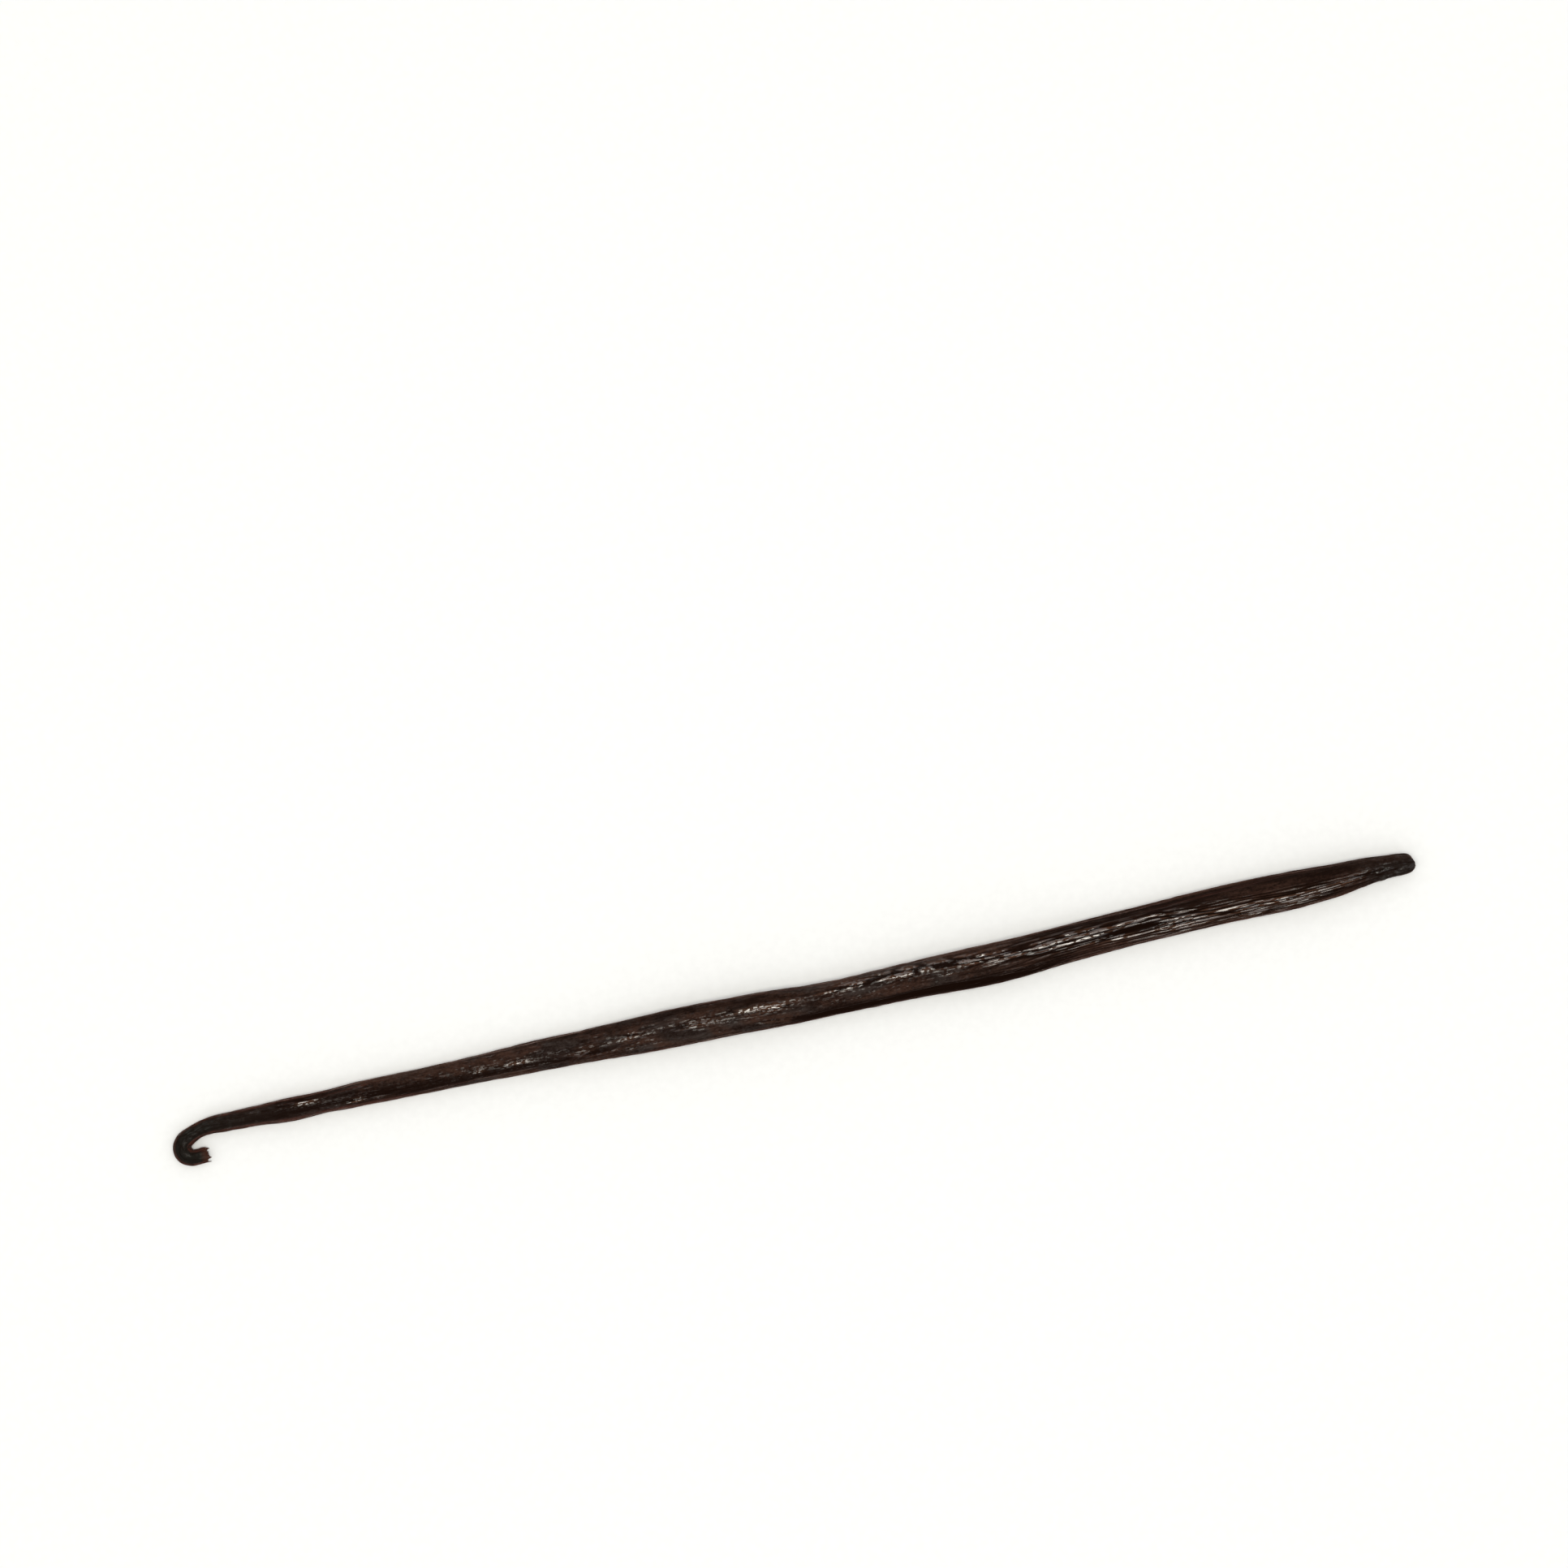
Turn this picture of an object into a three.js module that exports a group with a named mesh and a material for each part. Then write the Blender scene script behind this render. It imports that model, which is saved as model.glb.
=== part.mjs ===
// A cured vanilla pod, lying on a table: one long solid with a hooked, torn stem end,
// a slim neck, an uneven body with a blunt ridge along its top and lengthwise furrows,
// and a blunt tip that carries the scar of the flower.
//
// Millimetres, +Z up. X runs along the pod from the stem (-X) to the tip (+X), and the
// hook turns to -Y. The origin is at the bottom centre of the pod's box.
import * as THREE from "three";

// The stem, along its middle line and back from the shoulder, where the straight body starts.
const NECK_RADIUS = 8;
const NECK_TURN = 31; // degrees
const HOOK_RADIUS = 1.33;
const HOOK_TURN = 146; // degrees
const STUB_LENGTH = 1.45; // straight stretch between the hook and the torn end
const STEM_WIDTHS = [2.34, 2.05, 2.33, 2.3, 1.88]; // from the shoulder to the torn end, evenly spaced

// The body: distance from the shoulder, then how far the skin reaches to the left (+Y)
// and to the right (-Y) of the shoulder's middle line.
const BODY_LENGTH = 160.9;
const FLANKS = [
  [0, 1.18, -1.18],
  [5, 1.24, -1.3],
  [10, 1.38, -1.6],
  [14.5, 1.35, -1.52],
  [20, 1.64, -1.62],
  [34, 1.8, -1.77],
  [55, 2.04, -2.27],
  [63.5, 2.34, -2.47],
  [72, 2.17, -2.62],
  [81, 1.77, -2.75],
  [94, 2.14, -2.78],
  [102, 2.3, -3.04],
  [107, 2.35, -2.94],
  [113, 2.53, -2.42],
  [121, 2.85, -1.9],
  [134, 3.3, -1.6],
  [146, 3.37, -1.37],
  [151, 3.28, -1.06],
  [155, 3.12, -0.48],
  [158.5, 2.76, -0.15],
  [BODY_LENGTH, 2.5, -0.1],
];

// The section: how thick the pod is for its width, and where the ridge along its top runs.
const STEM_THICKNESS = 0.9;
const BODY_THICKNESS = 0.78;
const FLATTENING_LENGTH = 50; // from the shoulder, over which the section goes from one to the other
const TOPS = [
  // distance from the shoulder, how far left of the middle the ridge is as a share of the
  // half width, then how full the faces to its left and right are: 2 is an ellipse's fullness
  [0, 0, 2, 2],
  [30, -0.32, 2.3, 1.8],
  [46, -0.28, 2.3, 1.9],
  [66, 0.14, 2.1, 2.2],
  [95, 0.26, 1.8, 2.4],
  [122, 0.22, 1.6, 2.7],
  [150, 0.16, 1.7, 2.5],
  [BODY_LENGTH, 0, 2, 2],
];

// The furrows in the skin.
const FURROWS = 8;
const FURROW_SHARE = 0.085; // of the radius, at a furrow's deepest
const FURROW_SPREAD = 0.245; // radians from its middle to where it is almost gone
const FURROW_WANDER = 0.3; // radians to either side
const FURROW_WANDER_LENGTH = 107;
const FURROW_FADE_LENGTH = 37; // over which a furrow comes and goes
const FURROW_LEAST = 0.1; // of its depth, where it is faintest
const GOLDEN_ANGLE = 2.4; // radians, which sets each furrow's waves apart from its neighbours'

// How the pod lies: its underside is pressed flat where it rests, which is at the hook and
// at two places on the body, and lifts off between.
const PRESSED = 0.32;
const LIFTS = [
  // from the shoulder: where the lift is greatest, how far it reaches, and how high
  { at: 8, reach: 15, height: 0.35 },
  { at: 78, reach: 46, height: 0.4 },
  { at: 168, reach: 36, height: 0.9 },
];

// The two ends.
const TEAR_TEETH = 9; // at the torn stem end
const TEAR_CLUMPS = 3; // in which the teeth are long and short by turns
const TEAR_DEPTH = 0.5; // of the longest teeth
const TEAR_SLANT = 0.45; // how much further the outer side of the hook reaches
const TEAR_HOLLOW = 0.35;
const TEAR_HOLLOW_SHARE = 0.5; // of the stem's size
const TIP_ROUNDING = 1.9; // length over which the tip closes
const TIP_BLUNTNESS = 2.7;
const SCAR_SHARE = 0.5; // of the tip's size
const SCAR_HOLLOW = 0.22;
const SCAR_HOLLOW_SHARE = 0.55; // of the scar's size

// The mesh.
const SIDES = 30;
const STEM_STEP = 0.36;
const BODY_STEP = 1.25;
const TIP_STEPS = 6;

const neckLength = THREE.MathUtils.degToRad(NECK_TURN) * NECK_RADIUS;
const hookLength = THREE.MathUtils.degToRad(HOOK_TURN) * HOOK_RADIUS;
const stemLength = neckLength + hookLength + STUB_LENGTH;

const flankCurve = new THREE.CubicInterpolant(
  FLANKS.map(([at]) => at),
  FLANKS.flatMap(([, left, right]) => [left, right]),
  2,
);
const topCurve = new THREE.CubicInterpolant(
  TOPS.map(([at]) => at),
  TOPS.flatMap(([, ...top]) => top),
  3,
);
const stemWidthCurve = new THREE.CubicInterpolant(
  STEM_WIDTHS.map((_, i) => (i * stemLength) / (STEM_WIDTHS.length - 1)),
  STEM_WIDTHS,
  1,
);

// The point that an arc reaches when it is followed backwards from start through a turn.
// heading is the forward direction at start, and the arc's centre is to its right.
function backAlongArc(start, heading, radius, turn) {
  const across = (h) => new THREE.Vector2(Math.sin(h), -Math.cos(h));
  const centre = start.clone().addScaledVector(across(heading), radius);
  return centre.addScaledVector(across(heading + turn), -radius);
}

// The middle line at a distance from the shoulder, which is negative on the stem:
// the point in plan and the forward heading.
function middleLine(at) {
  if (at >= 0) {
    const [left, right] = flankCurve.evaluate(at);
    return { point: new THREE.Vector2(at, (left + right) / 2), heading: 0 };
  }
  const shoulder = new THREE.Vector2(0, 0);
  const neckTurn = Math.min(-at, neckLength) / NECK_RADIUS;
  const neckEnd = backAlongArc(shoulder, 0, NECK_RADIUS, neckTurn);
  const inHook = THREE.MathUtils.clamp(-at - neckLength, 0, hookLength);
  const hookTurn = inHook / HOOK_RADIUS;
  const hookEnd = backAlongArc(neckEnd, neckTurn, HOOK_RADIUS, hookTurn);
  const heading = neckTurn + hookTurn;
  const inStub = Math.max(-at - neckLength - hookLength, 0);
  hookEnd.x -= inStub * Math.cos(heading);
  hookEnd.y -= inStub * Math.sin(heading);
  return { point: hookEnd, heading };
}

function halfWidth(at) {
  if (at < 0) return stemWidthCurve.evaluate(-at)[0] / 2;
  const [left, right] = flankCurve.evaluate(at);
  return (left - right) / 2;
}

// The pod's half thickness: the slim stem is nearly round, and the body is flatter.
function halfThickness(at) {
  const flatter = THREE.MathUtils.smoothstep(at, 0, FLATTENING_LENGTH);
  return halfWidth(at) * THREE.MathUtils.lerp(STEM_THICKNESS, BODY_THICKNESS, flatter);
}

// How far the underside is off the table.
function lift(at) {
  return LIFTS.reduce((sum, bump) => {
    const away = Math.min(Math.abs(at - bump.at) / bump.reach, 1);
    return sum + bump.height * (1 + Math.cos(Math.PI * away)) / 2;
  }, 0);
}

// How deep the furrows are at an angle round the section, from 0 to 1.
// Each furrow wanders sideways as it runs along, and comes and goes.
function furrow(angle, at) {
  const wave = (length, phase) => Math.sin((2 * Math.PI * at) / length + phase);
  let deepest = 0;
  for (let k = 0; k < FURROWS; k++) {
    const phase = k * GOLDEN_ANGLE;
    const middle = (2 * Math.PI * k) / FURROWS + FURROW_WANDER * wave(FURROW_WANDER_LENGTH, phase);
    const away = Math.atan2(Math.sin(angle - middle), Math.cos(angle - middle));
    const shown = (1 + wave(FURROW_FADE_LENGTH, 2 * phase)) / 2;
    const presence = THREE.MathUtils.lerp(FURROW_LEAST, 1, shown);
    deepest = Math.max(deepest, presence * Math.exp(-((away / FURROW_SPREAD) ** 2)));
  }
  return deepest;
}

// How much of the full section is left as the tip closes, from 1 down to the scar's size.
function tipShare(at) {
  const into = THREE.MathUtils.clamp((at - BODY_LENGTH) / TIP_ROUNDING + 1, 0, 1);
  return (1 - into ** TIP_BLUNTNESS * (1 - SCAR_SHARE ** TIP_BLUNTNESS)) ** (1 / TIP_BLUNTNESS);
}

// The numbers moved and scaled so that they run from -half to half.
function fitted(numbers, half) {
  const [low, high] = [Math.min(...numbers), Math.max(...numbers)];
  return numbers.map((n) => ((2 * (n - low)) / (high - low) - 1) * half);
}

// The outline of the section at a distance from the shoulder, as [across, up] pairs: four
// quarters of superellipses, which meet at the ridge, the flanks and the sole, with the
// furrows cut in, fitted to the pod's size.
function section(at) {
  const [ridge, leftFullness, rightFullness] = topCurve.evaluate(Math.max(at, 0));
  const [width, thickness] = [halfWidth(at) * tipShare(at), halfThickness(at) * tipShare(at)];
  const outline = Array.from({ length: SIDES }, (_, j) => {
    const angle = (2 * Math.PI * j) / SIDES;
    const [cos, sin] = [Math.cos(angle), Math.sin(angle)];
    const [apex, fullness] = sin < 0 ? [0, 2] : [ridge, cos > 0 ? leftFullness : rightFullness];
    const reach = cos > 0 ? 1 - apex : -1 - apex;
    const left = 1 - FURROW_SHARE * furrow(angle, at);
    const across = apex + reach * Math.abs(cos) ** (2 / fullness);
    const up = Math.sign(sin) * Math.abs(sin) ** (2 / fullness);
    return { across: across * left, up: up * left };
  });
  const acrosses = fitted(outline.map((p) => p.across), width);
  const ups = fitted(outline.map((p) => p.up), thickness);
  return acrosses.map((across, j) => [across, ups[j]]);
}

// One ring of points round the pod. The section's lowest point would be PRESSED below
// the table's top, and what is below the table is pressed flat.
function ring(at) {
  const { point, heading } = middleLine(at);
  const base = halfThickness(at) + lift(at) - PRESSED;
  return section(at).map(([across, up]) => new THREE.Vector3(
    point.x - across * Math.sin(heading),
    point.y + across * Math.cos(heading),
    Math.max(base + up, lift(at)),
  ));
}

// A smaller copy of a ring, drawn in to its own middle and moved along the heading.
function shrunk(points, share, heading, forward) {
  const middle = points.reduce((sum, p) => sum.add(p), new THREE.Vector3()).divideScalar(points.length);
  const along = new THREE.Vector3(Math.cos(heading), Math.sin(heading), 0).multiplyScalar(forward);
  return points.map((p) => middle.clone().lerp(p, share).add(along));
}

// The rings from the torn end to the tip.
function podRings() {
  const stemSteps = Math.ceil(stemLength / STEM_STEP);
  const bodySteps = Math.ceil((BODY_LENGTH - TIP_ROUNDING) / BODY_STEP);
  const places = [];
  for (let i = 0; i < stemSteps; i++) places.push(-stemLength * (1 - i / stemSteps));
  for (let i = 0; i < bodySteps; i++) places.push(((BODY_LENGTH - TIP_ROUNDING) * i) / bodySteps);
  for (let i = 0; i <= TIP_STEPS; i++) {
    const closing = Math.sin((Math.PI / 2) * (i / TIP_STEPS)); // closer together at the end
    places.push(BODY_LENGTH - TIP_ROUNDING * (1 - closing));
  }
  const rings = places.map(ring);

  // The torn end: teeth of uneven length round the rim, and a hollow inside it.
  const { heading } = middleLine(-stemLength);
  const hollow = shrunk(rings[0], TEAR_HOLLOW_SHARE, heading, TEAR_HOLLOW);
  rings[0].forEach((p, j) => {
    const angle = (2 * Math.PI * j) / SIDES;
    const tooth = Math.abs(Math.sin((TEAR_TEETH * angle) / 2) * Math.cos((TEAR_CLUMPS * angle) / 2));
    const reach = TEAR_DEPTH * tooth + (TEAR_SLANT * (1 + Math.cos(angle))) / 2;
    p.x -= reach * Math.cos(heading);
    p.y -= reach * Math.sin(heading);
  });
  rings.unshift(hollow);

  // The flower's scar: a shallow hollow in the tip.
  rings.push(shrunk(rings.at(-1), SCAR_HOLLOW_SHARE, 0, -SCAR_HOLLOW));
  return rings;
}

// The closed skin over the rings, with a fan over the hollow at each end.
function podGeometry() {
  const rings = podRings();
  const points = rings.flat();
  const faces = [];
  const next = (j) => (j + 1) % SIDES;
  for (let i = 0; i < rings.length - 1; i++) {
    for (let j = 0; j < SIDES; j++) {
      const [a, b] = [i * SIDES + j, i * SIDES + next(j)];
      faces.push(a, b, b + SIDES, a, b + SIDES, a + SIDES);
    }
  }
  for (const i of [0, rings.length - 1]) {
    const middle = shrunk(rings[i], 0, 0, 0)[0];
    const hub = points.push(middle) - 1;
    for (let j = 0; j < SIDES; j++) {
      const edge = [i * SIDES + j, i * SIDES + next(j)];
      if (i === 0) edge.reverse();
      faces.push(hub, ...edge);
    }
  }
  const geometry = new THREE.BufferGeometry().setFromPoints(points);
  geometry.setIndex(faces);
  geometry.computeVertexNormals();
  geometry.computeBoundingBox();
  const { min, max } = geometry.boundingBox;
  geometry.translate(-(min.x + max.x) / 2, -(min.y + max.y) / 2, -min.z);
  return geometry;
}

const skin = new THREE.MeshStandardMaterial({ color: "#2e1f1a", roughness: 0.42, metalness: 0 });
const pod = new THREE.Mesh(podGeometry(), skin);
pod.name = "vanilla_pod";

const part = new THREE.Group();
part.add(pod);
export default part;
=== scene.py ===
"""A cured vanilla pod, lying on a white table under a soft lamp in a white tent.

The pod is one closed skin over a grid. One parameter runs round the section and the other
runs along the pod, from the torn end of its hooked stem to the flower's scar at the tip.
The form is that of the solid it stands for, with a finer outline and a blunter tip. The
wrinkles, creases and pits of the cured skin are added to it along its normals, and are
real relief in the mesh.

Lengths in the tables and in the numpy functions are millimetres, and MM turns them into
metres. Four numbers say where a point of the skin is:

- along: the distance from the shoulder, where the straight body starts. It is negative on
  the stem.
- angle: the angle round the section, 0 at the left flank (+Y), a quarter turn at the top,
  and half a turn at the right flank (-Y).
- girth: the way round the skin from the middle of the sole, in radians of the whole way.
- beside: the place across the pod as seen from above, 0 at the left flank and 1 at the
  right one.
"""

import math

import bpy
import numpy as np
from bpy.props import FloatProperty, FloatVectorProperty, IntProperty, PointerProperty
from mathutils import Matrix, Vector


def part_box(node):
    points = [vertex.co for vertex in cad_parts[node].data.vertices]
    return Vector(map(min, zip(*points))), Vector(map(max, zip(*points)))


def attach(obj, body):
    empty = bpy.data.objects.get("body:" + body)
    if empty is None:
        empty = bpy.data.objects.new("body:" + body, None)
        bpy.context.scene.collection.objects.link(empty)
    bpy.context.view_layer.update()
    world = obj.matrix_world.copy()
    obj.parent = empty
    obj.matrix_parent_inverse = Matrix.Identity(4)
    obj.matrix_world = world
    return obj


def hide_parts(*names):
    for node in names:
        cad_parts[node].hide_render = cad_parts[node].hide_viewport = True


bl_info = {
    "name": "Vanilla Pod",
    "version": (1, 0, 0),
    "blender": (4, 5, 0),
    "location": "3D View > Sidebar > Vanilla Pod",
    "description": "A cured vanilla pod with a wrinkled, oily skin, on a white table",
    "category": "Add Mesh",
}

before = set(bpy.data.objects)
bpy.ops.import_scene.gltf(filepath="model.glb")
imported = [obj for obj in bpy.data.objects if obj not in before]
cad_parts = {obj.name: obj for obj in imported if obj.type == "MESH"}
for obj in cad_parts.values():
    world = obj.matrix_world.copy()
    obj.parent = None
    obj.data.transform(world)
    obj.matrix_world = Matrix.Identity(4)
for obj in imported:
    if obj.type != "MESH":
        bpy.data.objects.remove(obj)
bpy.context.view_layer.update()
MM = 0.001
FULL_TURN = 2 * math.pi

# The stem, along its middle line and back from the shoulder.
NECK_RADIUS = 8
NECK_TURN = math.radians(31)
HOOK_RADIUS = 1.33
HOOK_TURN = math.radians(146)
STUB_LENGTH = 1.45
STEM_WIDTHS = [2.34, 2.05, 2.33, 2.3, 1.88]  # from the shoulder to the torn end
NECK_LENGTH = NECK_TURN * NECK_RADIUS
HOOK_LENGTH = HOOK_TURN * HOOK_RADIUS
STEM_LENGTH = NECK_LENGTH + HOOK_LENGTH + STUB_LENGTH

# The body: along, then how far the skin reaches to the left and to the right.
BODY_LENGTH = 160.9
FLANKS = [
    (0, 1.18, -1.16), (5, 1.3, -1.28), (10, 1.46, -1.62), (14.5, 1.44, -1.54), (20, 1.7, -1.64),
    (27, 1.7, -1.69), (34, 1.8, -1.75), (42, 2.08, -1.93), (50, 2.2, -2.15), (58, 2.44, -2.35),
    (63, 2.54, -2.46), (72, 2.42, -2.62), (76, 2.22, -2.68), (79, 1.95, -2.7), (83, 1.88, -2.68),
    (88, 2.04, -2.64), (94, 2.22, -2.7), (102, 2.36, -3), (107, 2.45, -2.88), (113, 2.62, -2.34),
    (121, 2.93, -1.87), (134, 3.38, -1.58), (146, 3.4, -1.32), (151, 3.33, -0.94), (155, 3.2, -0.3),
    (158, 2.92, 0), (159.4, 2.8, 0.08), (BODY_LENGTH, 2.55, 0.32),
]

# The section: its thickness for its width, and where the ridge along its top runs: along,
# how far left of the middle as a share of the half width, and how full the faces to its
# left and right are, where 2 is an ellipse's fullness.
STEM_THICKNESS = 0.9
BODY_THICKNESS = 0.78
FLATTENING_LENGTH = 50
TOPS = [
    (0, 0, 2, 2), (30, -0.32, 2.3, 1.8), (46, -0.28, 2.3, 1.9), (66, 0.08, 2.1, 2.2),
    (76, 0.2, 2, 2.3), (87, 0.44, 1.9, 2.3), (98, 0.42, 1.8, 2.4), (108, 0.3, 1.7, 2.5),
    (122, 0.22, 1.6, 2.7), (150, 0.16, 1.7, 2.5), (BODY_LENGTH, 0, 2, 2),
]

# The eight broad furrows, as shares of the radius, radians and millimetres.
FURROWS = 8
FURROW_SHARE = 0.085
FURROW_SPREAD = 0.245
FURROW_WANDER = 0.3
FURROW_WANDER_LENGTH = 107
FURROW_FADE_LENGTH = 37
FURROW_LEAST = 0.1
GOLDEN_ANGLE = 2.4

# How the pod lies: pressed flat where it rests, and lifted between (where, reach, height).
PRESSED = 0.32
LIFTS = [(8, 15, 0.35), (78, 46, 0.4), (168, 36, 0.9)]

# The torn end's teeth: where they are round it, how wide in radians, how far they reach.
TEETH = [
    (0.32, 0.2, 0.55), (0.8, 0.3, 0.3), (1.45, 0.32, 0.6), (2.05, 0.2, 0.35),
    (2.9, 0.34, 0.2), (3.7, 0.3, 0.5), (4.5, 0.25, 0.3), (5.2, 0.3, 0.6),
]
# Dents and lumps near it: along from the tear, reach, round the section, spread, height.
DENTS = [(1.3, 0.4, 2.95, 0.5, -0.12), (0.3, 0.4, 2.8, 0.5, 0.16), (2.6, 0.8, 0.4, 0.5, 0.1)]
TEAR_LENGTH = 0.7  # how far from the tear its teeth begin
SMALL_TEETH = 36  # random ones, on top of those above
SMALL_TOOTH = 0.08  # how far one reaches

# The tip: how it closes, how large the scar is, and how far its left corner is cut back.
TIP_ROUNDING = 1.0
TIP_BLUNTNESS = 3
SCAR_SHARE = 0.66
TIP_CHAMFER = 0.3
CHAMFER_LENGTH = 3.5

# The hollow in the torn end and the scar, row by row: the row's size as a share of the rim's,
# and how far along the pod from the rim it lies. Then how rough they are.
HOLLOW = [(0.12, 0.55), (0.45, 0.6), (0.72, 0.42), (0.9, 0.12)]
SCAR = [(0.93, 0.04), (0.84, -0.03), (0.68, -0.16), (0.45, -0.2), (0.15, -0.14)]
HOLLOW_ROUGHNESS = 0.05
SCAR_ROUGHNESS = 0.012
TORN_EDGE = [0.7, 0.55, 0.4, 0.28, 0.15]  # how torn the first rows behind the tear look

# How strongly the lengthwise wrinkles show to the right and to the left of the upper ridge.
WRINKLES = [
    (-12, 0.15, 0.15), (-3, 0.25, 0.25), (4, 0.45, 0.45), (30, 0.45, 0.4), (70, 0.42, 0.35),
    (92, 0.5, 0.35), (112, 1.0, 0.3), (125, 1.25, 0.25), (148, 1.2, 0.25), (156, 0.6, 0.4),
    (BODY_LENGTH, 0.25, 0.25),
]
# Where the wrinkles become long, close lines, where that ends, and how many there are
# round the pod.
DRAWN_FROM = (96, 113)
DRAWN_TO = (150, 157)
DRAWN_LINES = 17
# Where the skin is dry: it is wholly dry behind the first place and not at all past the
# second, and the other way about at the tip.
DRY_STEM = (-4, 13)
DRY_TIP = (151, 156.5)

# The random fields in the skin: cells round the pod, and how long each is along it.
FIELDS = {
    "sway": (6, 17), "bend": (16, 5),  # the wrinkles wander by these
    "lines": (44, 6), "fine lines": (62, 1.8),
    "drawn sway": (16, 12), "drawn bend": (30, 4),
    "fibres": (96, 2.2), "pebble": (72, 0.5), "swells": (9, 7), "lumps": (22, 0.75),
    "clumps": (20, 2.6),  # of wet and less wet skin
    "broad tone": (8, 12), "fine tone": (26, 3.5),
}
# How strong the relief's parts are, as shares of the wrinkles' depth.
CREST = 1.15  # a wrinkle's crest over its valley
WET_FLATTENING = 0.5  # how much lower the crest is for each 1 of wetness
MEAN_CREST = 0.7  # the height over a valley that the plain form lies at
FIBRE = 0.08
PEBBLE = 0.09
SWELL = 0.4
LUMP = 0.4
CRINKLE = 0.9
FOLD = 1.2
REST_RELIEF = 0.3  # what is left of the relief where the pod rests
THICK_ENOUGH = 2.2  # the half width from which on the relief is at full depth

# Where the skin is oily: along, beside in the middle of the oily band, its width, how oily.
OILY = [
    (-12, 0.5, 0.3, 0.04), (-5, 0.5, 0.2, 0.06), (-2.5, 0.45, 0.15, 0.3), (1, 0.4, 0.2, 0.08),
    (9, 0.3, 0.15, 0.06), (20, 0.6, 0.2, 0.05), (28, 0.5, 0.2, 0.03), (36, 0.6, 0.2, 0.06),
    (46, 0.65, 0.2, 0.12), (56, 0.58, 0.22, 0.18), (66, 0.47, 0.16, 0.2), (75, 0.42, 0.14, 0.26),
    (79, 0.3, 0.1, 0.12), (84, 0.23, 0.12, 0.5), (97, 0.24, 0.13, 0.8), (104, 0.31, 0.15, 0.9),
    (108, 0.37, 0.16, 0.9), (117, 0.44, 0.19, 0.95), (123, 0.58, 0.25, 0.95),
    (136, 0.71, 0.23, 1.05), (146, 0.71, 0.18, 0.7), (151, 0.63, 0.17, 0.6),
    (156, 0.6, 0.22, 0.5), (BODY_LENGTH, 0.72, 0.22, 0.35),
]
# Clusters of wet highlights on it: along, beside, how far they reach, their width, how oily.
GLINTS = [
    (5.5, 0.3, 0.8, 0.05, 0.6), (9, 0.25, 0.9, 0.06, 0.8), (12.5, 0.27, 1.2, 0.1, 1.6),
    (18.9, 0.7, 0.9, 0.07, 1.8), (20.6, 0.22, 0.7, 0.08, 0.5), (22, 0.76, 0.6, 0.05, 0.5),
    (35.5, 0.57, 0.6, 0.06, 0.6), (40.6, 0.57, 1.4, 0.06, 0.9), (50.5, 0.72, 1.6, 0.08, 0.6),
    (55.6, 0.45, 1.2, 0.07, 1.0), (55.6, 0.79, 0.6, 0.05, 0.7), (65.3, 0.52, 2.8, 0.06, 0.6),
    (70.6, 0.39, 2.2, 0.05, 0.7), (74.8, 0.44, 2.0, 0.09, 1.1), (74, 0.78, 0.8, 0.05, 0.5),
    (86, 0.28, 4.5, 0.06, 0.8), (93, 0.22, 1.8, 0.08, 0.8), (90, 0.22, 1.8, 0.05, 0.7),
    (98.5, 0.25, 2.4, 0.07, 1.0), (98.2, 0.52, 1.0, 0.04, 0.6), (104, 0.3, 3.4, 0.08, 1.7),
    (104.5, 0.48, 1.2, 0.04, 0.8), (106.5, 0.76, 2.5, 0.03, 0.6), (110.5, 0.47, 2.6, 0.09, 0.8),
    (117.5, 0.38, 2.4, 0.1, 2.0), (115.5, 0.64, 1.8, 0.04, 0.8), (122.3, 0.37, 1.8, 0.06, 1.0),
    (126.5, 0.3, 1.6, 0.04, 0.7), (129.5, 0.46, 1.2, 0.04, 1.0), (131.2, 0.5, 2.0, 0.06, 0.6),
    (138.3, 0.64, 6.0, 0.05, 0.5), (153.5, 0.57, 1.8, 0.09, 1.2),
]
# From where on oil is wet, and how much more makes it wholly wet.
WET_FROM = 0.7
WET_RANGE = 0.8

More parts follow.
